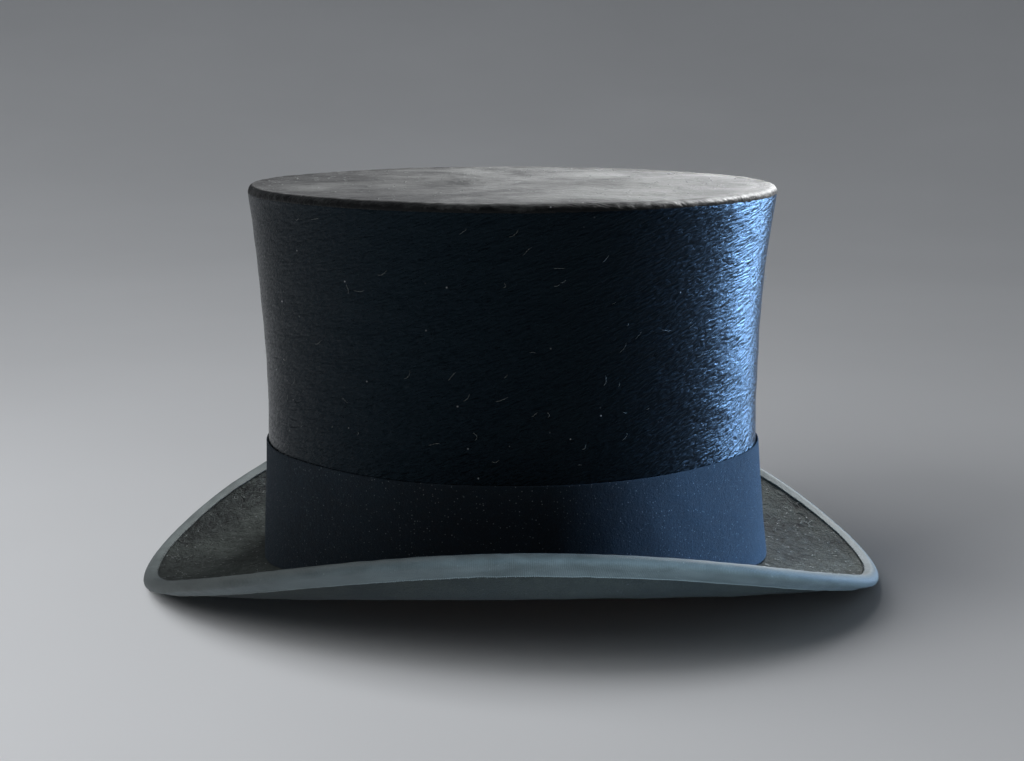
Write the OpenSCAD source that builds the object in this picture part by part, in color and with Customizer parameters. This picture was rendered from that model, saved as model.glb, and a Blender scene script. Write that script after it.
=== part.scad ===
// Rigid plush top hat: a bell-topped oval crown on a brim that dips at the front and the back
// and curls up at the sides. +Z is up, +X is the front, +Y is the wearer's left, and z = 0 is
// the flat surface on which the brim rests.

/* [Head opening] */
// Length of the head opening inside the sweatband, front to back
head_len = 195; // [190:1:205]
// Width of the head opening inside the sweatband
head_wid = 156; // [153:1:165]

/* [Crown] */
// Height of the flat top above the crown's foot at the two sides
crown_h = 143.6; // [120:0.2:150]
// Height of the narrowest place above the crown's foot at the two sides
waist_h = 57; // [45:1:70]
// How far the wall stands outside the head oval at its foot in front
foot_out = 9.6; // [8.6:0.2:10.6]
// How far the wall stands outside the head oval at its narrowest place
waist_out = 5.8; // [5.4:0.2:7]
// How far the wall stands outside the head oval at its top
top_out = 11.4; // [9:0.2:14]
// Radius of the rounded edge between the wall and the flat top
top_edge_r = 2.8; // [2.4:0.1:4]
// Thickness of the stiffened linen wall
shell_t = 2.2; // [1.6:0.1:2.6]
// Thickness of the plush cover
plush_t = 0.9; // [0.6:0.1:1]

/* [Brim] */
// Width of the brim at the two sides, measured along its curl from the crown
brim_w = 52; // [45:0.5:58]
// Width of the brim at the front and the back, as a share of its width at the sides
brim_end_share = 0.97; // [0.94:0.005:1]
// Angle that the brim turns through at the front and the back
curl_front = 28; // [22:1:31]
// Angle that the brim turns through at the two sides
curl_side = 62; // [50:1:72]
// How closely the strong curl keeps to the sides
curl_power = 2.1; // [1.8:0.1:3]
// Radius of the arc in which the crown's foot dips to the front and the back
foot_arc_r = 410; // [360:5:480]
// Thickness of the stiffened linen brim plate
brim_shell_t = 2; // [1.6:0.1:2.6]
// Thickness of the cloth under the brim
under_t = 0.7; // [0.5:0.1:0.8]
// Thickness of the ribbon bound round the brim's edge
binding_t = 0.6; // [0.5:0.05:0.7]
// Width of the bound ribbon on the brim's upper face
binding_top_w = 5; // [4:0.5:7]
// Width of the bound ribbon on the brim's lower face
binding_under_w = 8; // [6:0.5:10]

/* [Band] */
// Height of the band's top edge above the crown's foot at the two sides
band_h = 36.8; // [25:0.2:45]
// Thickness of the band's cloth
band_t = 0.9; // [0.7:0.1:1.2]
// Length of the band's lapped end, as an angle on the left side
band_lap_angle = 8; // [5:1:12]

/* [Sweatband and lining] */
// Height of the leather sweatband, measured from its lower edge
sweat_w = 48; // [38:1:55]
// Thickness of the sweatband's leather
leather_t = 1.2; // [0.9:0.1:1.2]
// Radius of the reed in the sweatband's lower edge
reed_r = 0.6; // [0.5:0.05:0.65]
// Thickness of the satin lining
lining_t = 0.4; // [0.3:0.05:0.5]
// Height of the gummed strip that ties the crown to the brim
strip_h = 12; // [8:1:16]

/* [Hidden] */

// The head oval has two end arcs about (+-end_c, 0) and two side arcs about (0, -+side_c). Their
// centres make a 3-4-5 triangle, so the arcs meet smoothly where the wall faces arc_join.
end_c = head_len - head_wid;
side_c = end_c * 3 / 4;
end_r = head_len / 2 - end_c;
side_r = end_r + end_c * 5 / 4;
arc_join = atan2(3, 4);
wedge_scale = 60;

// Brim layers, as heights above the brim's upper plush face
shell_top = -plush_t;
shell_low = shell_top - brim_shell_t;
cloth_low = shell_low - under_t;
bound_low = cloth_low - binding_t;

// The brim's lowest line lies on z = 0, which sets the height of the crown's foot
foot_side_z = -min([for (l = [0:0.5:brim_w])
    foot_drop(oval_x(0, foot_out + curl_w(0, l, bound_low))) + curl_u(0, l, bound_low)]);
foot_front_z = foot_side_z + foot_drop(oval_x(0, foot_out));
top_z = foot_side_z + crown_h;
edge_z = top_z - top_edge_r;
waist_z = foot_side_z + waist_h;
band_top_z = foot_side_z + band_h;

// Inner faces of the crown's layers, as distances inside the wall's outer face
shell_in = plush_t + shell_t;
lining_in = shell_in + lining_t;
tip_shell_low = edge_z - 0.1;
tip_lining_low = tip_shell_low - lining_t;

// The brim plate stops short of the sweatband and leaves room for the reed's welt
welt_r = reed_r + 0.35;
welt_out = leather_t + welt_r;
plate_edge_out = leather_t + 2 * welt_r + 0.1;
strip_leg = wall_out(foot_side_z) - lining_in - plate_edge_out + 0.1;

around_steps = 72;
curl_steps = 6;
wall_steps = 12;
seam_gap = 0.4;
thread = 0.4;
lap_start = 98;
gap = 0.05;

// The bow at the back of the sweatband, made of narrow ribbon
sweat_foot_back = foot_side_z + foot_drop(head_len / 2) + cloth_low;
bow_z = sweat_foot_back + 7;
bow_w = 4;
bow_knot_w = 4;
bow_ribbon_t = 0.35;

plush_colour = [0.05, 0.06, 0.08];
cloth_colour = [0.06, 0.09, 0.13];
ribbon_colour = [0.33, 0.37, 0.38];
linen_colour = [0.45, 0.33, 0.2];
leather_colour = [0.5, 0.32, 0.18];
satin_colour = [0.82, 0.78, 0.68];

// ---- The oval ----

// Angle from the nearest end of the oval's long axis, 0 to 90
function from_end(a) = abs((a + 90) % 180 - 90);

function on_end(a) = from_end(a) < arc_join;

// Point of the oval that lies "out" outside the head oval, where the wall faces angle a
function oval_x(a, out) = on_end(a)
    ? sign(cos(a)) * end_c + (end_r + out) * cos(a)
    : (side_r + out) * cos(a);
function oval_y(a, out) = on_end(a)
    ? (end_r + out) * sin(a)
    : (side_r + out) * sin(a) - sign(sin(a)) * side_c;

// Lengths of the two arcs in a quarter of the oval, and the facing angle at a length along it
function end_len(out) = (end_r + out) * arc_join * PI / 180;
function quarter_len(out) = end_len(out) + (side_r + out) * (90 - arc_join) * PI / 180;
function quarter_angle(s, out) = s < end_len(out)
    ? s / (end_r + out) * 180 / PI
    : arc_join + (s - end_len(out)) / (side_r + out) * 180 / PI;
function angle_at(s, out) = let (
        q = floor(s / quarter_len(out)),
        rest = s - q * quarter_len(out)
    ) q % 2 == 0
    ? 90 * q + quarter_angle(rest, out)
    : 90 * (q + 1) - quarter_angle(quarter_len(out) - rest, out);

// The wedges that hold one end arc and one side arc
module end_wedge() {
    translate([0, 0, -50])
        linear_extrude(300)
            polygon([
                [end_c, 0],
                [end_c + 4 * wedge_scale, -3 * wedge_scale],
                [end_c + 4 * wedge_scale, 3 * wedge_scale]
            ]);
}

module side_wedge() {
    translate([0, 0, -50])
        linear_extrude(300)
            polygon([
                [0, -side_c],
                [4 * wedge_scale, 3 * wedge_scale - side_c],
                [-4 * wedge_scale, 3 * wedge_scale - side_c]
            ]);
}

// Sweeps a flat outline of distance outside the head oval against height round the oval
module oval_sweep() {
    for (turn = [0, 180]) {
        rotate([0, 0, turn]) {
            intersection() {
                translate([end_c, 0, 0])
                    rotate_extrude($fn = 96)
                        translate([end_r, 0]) children();
                end_wedge();
            }
            intersection() {
                translate([0, -side_c, 0])
                    rotate_extrude($fn = 128)
                        translate([side_r, 0]) children();
                side_wedge();
            }
        }
    }
}

// Solid oval plate: "edge" lists distance outside the head oval against height, going up
module oval_plate(edge) {
    for (turn = [0, 180]) {
        rotate([0, 0, turn]) {
            intersection() {
                translate([end_c, 0, 0])
                    rotate_extrude($fn = 96) half_plate(edge, end_r);
                end_wedge();
            }
            intersection() {
                translate([0, -side_c, 0])
                    rotate_extrude($fn = 128) half_plate(edge, side_r);
                side_wedge();
            }
        }
    }
}

module half_plate(edge, r) {
    low = edge[0].y;
    high = edge[len(edge) - 1].y;
    polygon(concat([[0, high], [0, low]], [for (p = edge) [r + p.x, p.y]]));
}

// ---- The foot arc, shared by the crown and the brim ----

function foot_drop(x) = sqrt(foot_arc_r * foot_arc_r - x * x) - foot_arc_r;

// Everything below the foot arc, raised by h
module below_foot(h) {
    translate([0, 0, foot_side_z - foot_arc_r + h])
        rotate([90, 0, 0])
            cylinder(r = foot_arc_r, h = 400, center = true, $fn = 360);
}

// Puts copies round the oval at an even spacing, each with its X along the oval, its Y outward
// and its Z up, tilted to follow the foot arc
module along_foot(count, out, h, first = 0, last = 1) {
    step = 4 * quarter_len(out) / count;
    for (i = [floor(first * count):floor(last * count) - 1]) {
        a = angle_at((i + 0.5) * step, out);
        x = oval_x(a, out);
        tilt = asin(x / foot_arc_r) * sin(a);
        translate([x, oval_y(a, out), foot_side_z + foot_drop(x) + h])
            rotate([0, 0, a - 90])
                rotate([0, tilt, 0])
                    children();
    }
}

// ---- The crown's wall ----

function wall_out(z) = z > waist_z
    ? waist_out + (top_out - waist_out) * pow((z - waist_z) / (edge_z - waist_z), 2)
    : waist_out + (foot_out - waist_out) * pow((waist_z - z) / (waist_z - foot_front_z), 2);

// Outline of one layer of the wall, from "deep" to "shallow" inside its outer face
module wall_outline(deep, shallow, low, high) {
    heights = [for (i = [0:wall_steps]) low + (high - low) * i / wall_steps];
    polygon(concat(
        [for (z = heights) [wall_out(z) - deep, z]],
        [for (i = [wall_steps:-1:0]) [wall_out(heights[i]) - shallow, heights[i]]]
    ));
}

// One layer of the wall, standing on the foot arc raised by h
module wall_layer(deep, shallow, h, high) {
    difference() {
        oval_sweep() wall_outline(deep, shallow, 0, high);
        below_foot(h);
    }
}

// ---- The brim's curl ----

function curl_angle(a) = curl_front + (curl_side - curl_front) * pow(abs(sin(a)), curl_power);

function curl_r(a) = brim_w * (brim_end_share + (1 - brim_end_share) * pow(sin(a), 2))
    * 180 / (PI * curl_angle(a));

// Distance outward and upward of the point at length l along the curl, n above its upper face.
// The length is the one at the sides, and a negative length lies under the crown, on the flat.
function curl_turn(a, l) = curl_angle(a) * max(l, 0) / brim_w;
function curl_w(a, l, n) = min(l, 0) + (curl_r(a) - n) * sin(curl_turn(a, l));
function curl_u(a, l, n) = curl_r(a) - (curl_r(a) - n) * cos(curl_turn(a, l));

function brim_point(a, p) = let (
        out = foot_out + curl_w(a, p.x, p.y),
        x = oval_x(a, out)
    ) [x, oval_y(a, out), foot_side_z + foot_drop(x) + curl_u(a, p.x, p.y)];

// Closed ring whose section is a loop of [length along the curl, height above its upper face]
module brim_ring(section) {
    n = len(section);
    points = [for (i = [0:around_steps - 1], p = section) brim_point(360 * i / around_steps, p)];
    faces = [for (i = [0:around_steps - 1], j = [0:n - 1]) let (
            i2 = (i + 1) % around_steps,
            j2 = (j + 1) % n
        ) [i * n + j, i * n + j2, i2 * n + j2, i2 * n + j]];
    polyhedron(points, faces, convexity = 6);
}

// Section of a flat layer between two lengths and two heights
function layer_section(l0, l1, low, high) = let (
        ls = l0 < 0
            ? concat([l0], [for (i = [0:curl_steps]) l1 * i / curl_steps])
            : [for (i = [0:curl_steps]) l0 + (l1 - l0) * i / curl_steps]
    ) concat(
        [for (l = ls) [l, high]],
        [for (i = [len(ls) - 1:-1:0]) [ls[i], low]]
    );

// ---- Sub-parts ----

// Stiffened linen wall of the crown, standing on the covered brim plate
module crown_side_shell() {
    color(linen_colour)
        wall_layer(shell_in, plush_t, 0, tip_shell_low);
}

// Stiffened linen plate that closes the crown's top, resting on the wall
module crown_tip_shell() {
    edge_r = top_edge_r - plush_t;
    centre = top_out - top_edge_r;
    color(linen_colour)
        oval_plate(concat(
            [[top_out - plush_t, tip_shell_low]],
            [for (t = [0:15:90]) [centre + edge_r * cos(t), edge_z + edge_r * sin(t)]]
        ));
}

// Stiffened linen brim plate
module brim_shell() {
    color(linen_colour)
        brim_ring(layer_section(plate_edge_out - foot_out, brim_w, shell_low, shell_top));
}

// Gummed linen strip in the corner inside the wall, with one leg up the wall and one on the brim
module brim_join_strip() {
    color(linen_colour) {
        intersection() {
            wall_layer(lining_in, shell_in, 0, foot_side_z + 2 * strip_h);
            below_foot(strip_h);
        }
        intersection() {
            difference() {
                oval_sweep()
                    translate([plate_edge_out, 0])
                        square([strip_leg, foot_side_z + 5]);
                below_foot(0);
            }
            below_foot(lining_t);
        }
    }
}

// Plush cover of the wall, with a slanting butted seam at the left rear
module side_plush() {
    seam_angle = 128;
    seam_slant = 14;
    color(plush_colour)
        difference() {
            wall_layer(plush_t, 0, 0, edge_z);
            translate([oval_x(seam_angle, 0), oval_y(seam_angle, 0), (foot_side_z + top_z) / 2])
                rotate([0, 0, seam_angle])
                    rotate([seam_slant, 0, 0])
                        cube([60, seam_gap, 2 * crown_h], center = true);
        }
}

// Plush cover of the top, turned over its rounded edge
module tip_plush() {
    centre = top_out - top_edge_r;
    inner_r = top_edge_r - plush_t;
    color(plush_colour)
        difference() {
            oval_plate([for (t = [0:15:90]) [centre + top_edge_r * cos(t), edge_z + top_edge_r * sin(t)]]);
            oval_plate(concat(
                [[top_out - plush_t, edge_z - 1]],
                [for (t = [0:15:90]) [centre + inner_r * cos(t), edge_z + inner_r * sin(t)]]
            ));
        }
}

// Plush on the brim's upper face
module brim_top_plush() {
    color(plush_colour)
        brim_ring(layer_section(plate_edge_out - foot_out, brim_w, shell_top, 0));
}

// Cloth on the brim's lower face
module brim_under_cloth() {
    color(cloth_colour)
        brim_ring(layer_section(plate_edge_out - foot_out, brim_w, cloth_low, shell_low));
}

// Ribbon folded over the brim's edge
module brim_binding() {
    mid = cloth_low / 2;
    half_t = mid - bound_low;
    turn_l = brim_w - half_t + binding_t;
    color(ribbon_colour)
        brim_ring(concat(
            [[brim_w - binding_top_w, 0], [brim_w - binding_top_w, binding_t]],
            [for (t = [90:-30:-90]) [turn_l + half_t * cos(t), mid + half_t * sin(t)]],
            [[brim_w - binding_under_w, bound_low], [brim_w - binding_under_w, cloth_low]],
            [[brim_w, cloth_low], [brim_w, 0]]
        ));
}

// Fine hand stitches that fell the ribbon's upper edge to the plush
module binding_stitches() {
    count = 96;
    mean_out = foot_out + 40;
    edge_l = brim_w - binding_top_w - gap;
    color(ribbon_colour)
        for (i = [0:count - 1]) {
            a = angle_at((i + 0.5) * 4 * quarter_len(mean_out) / count, mean_out);
            p = brim_point(a, [edge_l, binding_t / 2]);
            q = brim_point(a, [edge_l - 2 * thread, binding_t / 2]);
            translate((p + q) / 2)
                rotate([0, 0, a])
                    rotate([0, -atan2(p.z - q.z, norm([p.x - q.x, p.y - q.y])), 0])
                        cube([2 * thread, thread, binding_t - 2 * gap], center = true);
        }
}

// Woollen cloth band round the foot of the crown, with its end lapped over on the left side
module cloth_band() {
    color(cloth_colour)
        difference() {
            union() {
                oval_sweep() wall_outline(0, -band_t, 0, band_top_z);
                translate([0, -side_c, 0])
                    rotate_extrude(angle = band_lap_angle, start = lap_start, $fn = 128)
                        translate([side_r, 0])
                            wall_outline(-band_t / 2, -1.8 * band_t, 0, band_top_z);
            }
            below_foot(0);
        }
}

// Stitches down the edge of the band's lapped end
module band_stitches() {
    a = lap_start - 0.2;
    count = 9;
    color(cloth_colour)
        for (i = [0:count - 1]) {
            z = foot_side_z + band_h * (i + 0.5) / count;
            out = wall_out(z) + band_t + thread / 2 + gap;
            translate([oval_x(a, out), oval_y(a, out), z])
                rotate([0, 0, a])
                    rotate([90, 0, 0])
                        cube([thread, 1.8, thread], center = true);
        }
}

// Leather sweatband with its two ends butted at the back
module sweatband() {
    color(leather_colour)
        difference() {
            intersection() {
                oval_sweep() square([leather_t, foot_side_z + sweat_w + 5]);
                below_foot(cloth_low + sweat_w);
            }
            below_foot(cloth_low + gap);
            translate([-head_len / 2 - 5, -seam_gap / 2, -5])
                cube([10, seam_gap, foot_side_z + sweat_w + 20]);
        }
}

// Thin reed that keeps the sweatband's lower edge round
module sweatband_reed() {
    l = welt_out - foot_out;
    n = cloth_low + welt_r + gap;
    color("burlywood")
        brim_ring([for (t = [0:45:315]) [l + reed_r * cos(t), n - reed_r * sin(t)]]);
}

// Oilcloth welt folded round the reed, with its tail up the back of the leather
module reed_welt() {
    l = welt_out - foot_out;
    n = cloth_low + welt_r + gap;
    tail_h = 9;
    tail_t = 0.4;
    inner_r = reed_r + gap;
    color("dimgray")
        brim_ring(concat(
            [[leather_t + gap - foot_out, n + tail_h], [leather_t + tail_t - foot_out, n + tail_h]],
            [for (t = [115:-45:-155]) [l + welt_r * cos(t), n + welt_r * sin(t)]],
            [for (t = [-155:45:115]) [l + inner_r * cos(t), n + inner_r * sin(t)]],
            [[leather_t + gap - foot_out, n + inner_r * sin(115)]]
        ));
}

// Running stitches along the sweatband's lower edge
module sweatband_stitches() {
    color("tan")
        along_foot(92, -thread / 2 - gap, cloth_low + 3)
            cube([3, thread, thread], center = true);
}

// Cross stitches that draw the sweatband's two ends together
module sweatband_join_stitches() {
    count = 8;
    pitch = (sweat_w - 16) / count;
    x = -head_len / 2 + thread / 2 + gap;
    color("tan")
        for (i = [0:count - 1]) {
            translate([x, 0, sweat_foot_back + 13 + (i + 0.5) * pitch])
                rotate([30, 0, 0])
                    cube([thread, 4, thread], center = true);
        }
}

// Outline of one loop of the bow, flat at the knot and round at its far end
module bow_loop(h, l) {
    square([h, l - h / 2]);
    translate([h / 2, l - h / 2]) circle(d = h, $fn = 32);
}

// Two flat loops of narrow ribbon over the sweatband's join
module sweatband_bow() {
    loop_l = 12;
    loop_h = 3;
    color(plush_colour)
        for (turn = [0, 180]) {
            translate([1.4 - head_len / 2, 0, bow_z])
                rotate([turn, 0, 0])
                    translate([0, bow_knot_w / 2 + gap, -bow_w / 2])
                        linear_extrude(bow_w)
                            difference() {
                                bow_loop(loop_h, loop_l);
                                translate([bow_ribbon_t, bow_ribbon_t])
                                    bow_loop(loop_h - 2 * bow_ribbon_t, loop_l - 2 * bow_ribbon_t);
                            }
        }
}

// Knot of the same ribbon between the loops
module sweatband_bow_knot() {
    color(plush_colour)
        translate([1.2 - head_len / 2, -bow_knot_w / 2, bow_z - 0.6 * bow_w])
            cube([3.6, bow_knot_w, 1.2 * bow_w]);
}

// Satin lining of the wall
module side_lining() {
    color(satin_colour)
        wall_layer(lining_in, shell_in, strip_h + gap, tip_lining_low);
}

// Satin lining under the top
module tip_lining() {
    r = wall_out(tip_lining_low) - shell_in;
    color(satin_colour)
        oval_plate([[r, tip_lining_low], [r, tip_shell_low]]);
}

// Stitches that join the lining of the wall to the lining of the top
module lining_seam_stitches() {
    count = 80;
    out = wall_out(tip_lining_low) - lining_in - thread / 2 - gap;
    color(satin_colour)
        for (i = [0:count - 1]) {
            a = angle_at((i + 0.5) * 4 * quarter_len(out) / count, out);
            translate([oval_x(a, out), oval_y(a, out), tip_lining_low - thread / 2 - gap])
                rotate([0, 0, a - 90])
                    cube([3, thread, thread], center = true);
        }
}

crown_side_shell();
crown_tip_shell();
brim_shell();
brim_join_strip();
side_plush();
tip_plush();
brim_top_plush();
brim_under_cloth();
brim_binding();
binding_stitches();
cloth_band();
band_stitches();
sweatband();
sweatband_reed();
reed_welt();
sweatband_stitches();
sweatband_join_stitches();
sweatband_bow();
sweatband_bow_knot();
side_lining();
tip_lining();
lining_seam_stitches();
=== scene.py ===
"""Looks of the plush top hat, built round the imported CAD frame. Lengths in the code are in
millimetres, and every mesh is scaled to metres where it is made."""
import math
import random

import bmesh
import bpy
import numpy as np
from mathutils import Matrix, Vector


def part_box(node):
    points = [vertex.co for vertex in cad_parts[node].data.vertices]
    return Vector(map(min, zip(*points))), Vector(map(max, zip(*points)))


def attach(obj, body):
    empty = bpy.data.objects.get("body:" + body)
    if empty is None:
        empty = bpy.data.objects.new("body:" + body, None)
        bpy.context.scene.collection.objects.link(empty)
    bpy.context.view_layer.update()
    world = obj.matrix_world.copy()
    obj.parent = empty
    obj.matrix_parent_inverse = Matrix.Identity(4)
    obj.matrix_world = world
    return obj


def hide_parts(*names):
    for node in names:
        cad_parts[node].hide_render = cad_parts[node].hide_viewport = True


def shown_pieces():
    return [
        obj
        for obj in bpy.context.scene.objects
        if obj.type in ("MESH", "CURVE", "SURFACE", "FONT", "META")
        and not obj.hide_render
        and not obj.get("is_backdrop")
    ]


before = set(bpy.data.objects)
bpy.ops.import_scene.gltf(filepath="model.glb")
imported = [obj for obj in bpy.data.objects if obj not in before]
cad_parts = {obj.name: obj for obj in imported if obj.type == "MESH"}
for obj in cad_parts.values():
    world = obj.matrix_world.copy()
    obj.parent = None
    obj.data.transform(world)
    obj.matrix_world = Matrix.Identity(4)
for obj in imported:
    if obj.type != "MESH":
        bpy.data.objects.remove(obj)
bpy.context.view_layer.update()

MM = 0.001
PI = math.pi

# ---- The hat's driving sizes, the same as in part.scad ----

HEAD_LEN, HEAD_WID = 195.0, 156.0
FOOT_OUT, WAIST_OUT, TOP_OUT = 9.6, 5.8, 11.4
TOP_EDGE_R = 2.8
PLUSH_T, SHELL_T, LINING_T = 0.9, 2.2, 0.4
CROWN_H, WAIST_H, BAND_H = 143.6, 57.0, 36.8
BRIM_W, BRIM_END_SHARE = 52.0, 0.97
CURL_FRONT, CURL_SIDE, CURL_POWER = math.radians(28), math.radians(62), 2.1
FOOT_ARC_R = 410.0
BRIM_SHELL_T, UNDER_T, BINDING_T = 2.0, 0.7, 0.6
BINDING_TOP_W, BINDING_UNDER_W = 5.0, 8.0
RIBBON_W = 16.93
BAND_T, BAND_LAP = 0.9, math.radians(8)
LAP_START = math.radians(98)
SWEAT_W, LEATHER_T, REED_R = 48.0, 1.2, 0.6
STRIP_H = 12.0
BOW_W, BOW_KNOT_W, BOW_LIFT = 4.0, 4.0, 7.0
SEAM_ANGLE, SEAM_SLANT = math.radians(128), math.radians(14)
NAP_SLOPE = 0.32
LEAN_BACK, LEAN_FRONT = 1.4, 2.5

END_C = HEAD_LEN - HEAD_WID
SIDE_C = END_C * 3 / 4
END_R = HEAD_LEN / 2 - END_C
SIDE_R = END_R + END_C * 5 / 4
ARC_JOIN = math.atan2(3, 4)

SHELL_LOW = -PLUSH_T - BRIM_SHELL_T
CLOTH_LOW = SHELL_LOW - UNDER_T
WELT_R = REED_R + 0.35
WELT_OUT = LEATHER_T + WELT_R
PLATE_EDGE_OUT = LEATHER_T + 2 * WELT_R + 0.1
SHELL_IN = PLUSH_T + SHELL_T
LINING_IN = SHELL_IN + LINING_T

TOP_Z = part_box("tip_plush")[1][2] / MM
EDGE_Z = TOP_Z - TOP_EDGE_R
FOOT_SIDE_Z = TOP_Z - CROWN_H
WAIST_Z = FOOT_SIDE_Z + WAIST_H
TIP_SHELL_LOW = EDGE_Z - 0.1
TIP_LINING_LOW = TIP_SHELL_LOW - LINING_T


# ---- The hat's forms ----

def join(*parts):
    """Points from their coordinates, each of which may be spread over the others."""
    return np.stack(np.broadcast_arrays(*parts), -1)


def oval(a, out):
    """Points of the oval that lies out mm outside the head oval, where its wall faces angle a."""
    a, out = np.broadcast_arrays(np.asarray(a, float), np.asarray(out, float))
    c, s = np.cos(a), np.sin(a)
    on_end = np.abs(s) < math.sin(ARC_JOIN)
    x = np.where(on_end, np.sign(c) * END_C + (END_R + out) * c, (SIDE_R + out) * c)
    y = np.where(on_end, (END_R + out) * s, (SIDE_R + out) * s - np.sign(s) * SIDE_C)
    return x, y


def distances(line):
    """How far along a line of points each of them lies."""
    return np.concatenate([[0], np.cumsum(np.linalg.norm(np.diff(line, axis=0), axis=1))])


def directions(line):
    """Unit vectors along a line, at each of its points."""
    along = np.gradient(line, axis=0)
    return along / np.linalg.norm(along, axis=1)[:, None]


def sideways(line):
    """Unit vectors to the left of a flat line, at each of its points."""
    x, y = directions(line).T
    return join(-y, x)


def spread_angles(count, out, first=0.0, turns=1.0):
    """Facing angles of count points at an even spacing round the oval, from the angle first on,
    and the length of that round."""
    fine = np.linspace(first, first + 2 * PI * turns, 7201)
    run = distances(join(*oval(fine, out)))
    steps = np.arange(count) / (count if turns == 1.0 else count - 1) * run[-1]
    return np.interp(steps, run, fine), run[-1]


def foot_drop(x):
    """Height of the crown's foot over its height at the sides, which is 0 or less."""
    return np.sqrt(FOOT_ARC_R ** 2 - x ** 2) - FOOT_ARC_R


def foot_z(a):
    """Height of the crown's foot where its wall faces angle a."""
    return FOOT_SIDE_Z + foot_drop(oval(a, FOOT_OUT)[0])


FOOT_FRONT_Z = float(foot_z(0.0))


def wall_out(z):
    """How far outside the head oval the crown's wall stands at height z."""
    high = WAIST_OUT + (TOP_OUT - WAIST_OUT) * ((z - WAIST_Z) / (EDGE_Z - WAIST_Z)) ** 2
    low = WAIST_OUT + (FOOT_OUT - WAIST_OUT) * ((WAIST_Z - z) / (WAIST_Z - FOOT_FRONT_Z)) ** 2
    return np.where(z > WAIST_Z, high, low)


def lean(x, z):
    """How far the wall's outer layers lean forward at their foot, most at the hat's front."""
    low = np.clip((WAIST_Z - z) / (WAIST_Z - FOOT_FRONT_Z), 0, 1)
    front = np.clip(0.5 + x / HEAD_LEN, 0, 1)
    return (LEAN_BACK + (LEAN_FRONT - LEAN_BACK) * front) * low ** 1.5


def brim(a, l, n):
    """Points of the brim, l mm outward along its curl and n mm above its plush face."""
    s2 = np.sin(a) ** 2
    angle = CURL_FRONT + (CURL_SIDE - CURL_FRONT) * np.abs(np.sin(a)) ** CURL_POWER
    r = BRIM_W * (BRIM_END_SHARE + (1 - BRIM_END_SHARE) * s2) / angle
    turn = angle * np.maximum(l, 0) / BRIM_W
    x, y = oval(a, FOOT_OUT + np.minimum(l, 0) + (r - n) * np.sin(turn))
    z = FOOT_SIDE_Z + foot_drop(x) + r - (r - n) * np.cos(turn)
    return join(x, y, z)


def ripples(points, size, seed, stretch=(1, 1, 1), waves=14):
    """Smooth seeded noise from about -1 to 1 with features of about that size in mm."""
    rng = np.random.default_rng(seed)
    p = points / np.asarray(stretch)
    total = np.zeros(points.shape[:-1])
    for _ in range(waves):
        d = rng.normal(size=3)
        d *= rng.uniform(0.7, 1.4) / np.linalg.norm(d) * 2 * PI / (2 * size)
        total += np.sin(p @ d + rng.uniform(0, 2 * PI))
    return total / math.sqrt(waves) * 0.8


# ---- Meshes ----

def add_object(name, data):
    piece = bpy.data.objects.new(name, data)
    bpy.context.scene.collection.objects.link(piece)
    return piece


def add_vectors(mesh, key, values):
    """Stores a vector for each point of the mesh, given in mm."""
    layer = mesh.attributes.new(key, "FLOAT_VECTOR", "POINT")
    layer.data.foreach_set("vector", (np.asarray(values) * MM).astype(np.float32).ravel())


def make_object(name, verts, faces, lie, material):
    """One piece. lie holds its cloth's own coordinates, which its material reads."""
    mesh = bpy.data.meshes.new(name)
    mesh.from_pydata((np.asarray(verts) * MM).tolist(), [], faces)
    add_vectors(mesh, "lie", lie)
    bm = bmesh.new()
    bm.from_mesh(mesh)
    bmesh.ops.recalc_face_normals(bm, faces=bm.faces)
    bm.to_mesh(mesh)
    bm.free()
    mesh.polygons.foreach_set("use_smooth", [True] * len(mesh.polygons))
    mesh.materials.append(material)
    piece = add_object(name, mesh)
    return piece


def grid_faces(nu, nv, closed_u, first=0):
    """Quads of a grid of nu stations by nv points round a closed section."""
    i = np.arange(nu if closed_u else nu - 1)[:, None]
    j = np.arange(nv)[None, :]
    i2, j2 = (i + 1) % nu, (j + 1) % nv
    quads = join(i * nv + j, i * nv + j2, i2 * nv + j2, i2 * nv + j)
    faces = (quads.reshape(-1, 4) + first).tolist()
    if not closed_u:
        faces.append([first + k for k in range(nv)])
        faces.append([first + (nu - 1) * nv + k for k in range(nv)])
    return faces


def ring_object(name, points, lie, material, closed=True):
    """Piece from points of shape (stations, section, 3)."""
    faces = grid_faces(*points.shape[:2], closed)
    lie = np.broadcast_to(lie, points.shape).reshape(-1, 3)
    return make_object(name, points.reshape(-1, 3), faces, lie, material)


def disc_object(name, under, top, middles, material):
    """Oval piece from the rings of its two faces, each from its rim inward, and their middles."""
    around = under.shape[1]
    count = len(under) + len(top)
    verts = np.concatenate([under[::-1].reshape(-1, 3), top.reshape(-1, 3), middles])
    i = np.arange(around)
    after = (i + 1) % around
    faces = []
    for k in range(count - 1):
        near, far = k * around, (k + 1) * around
        faces += join(near + i, near + after, far + after, far + i).tolist()
    faces += join(i, count * around, after).tolist()
    faces += join(far + i, far + after, count * around + 1).tolist()
    return make_object(name, verts, faces, verts, material), verts


def slab(l0, l1, low, high, steps, ends=4):
    """Closed section of a layer between two lengths, with rounded long edges."""
    r = (high - low) / 2
    mid = (high + low) / 2
    run = np.linspace(l0 + r, l1 - r, steps + 1)
    turn = np.linspace(PI / 2, -PI / 2, ends + 2)[1:-1]
    far = join(l1 - r + r * np.cos(turn), mid + r * np.sin(turn))
    near = join(l0 + r - r * np.cos(turn), mid - r * np.sin(turn))
    return np.concatenate([join(run, high), far, join(run[::-1], low), near])


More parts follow.
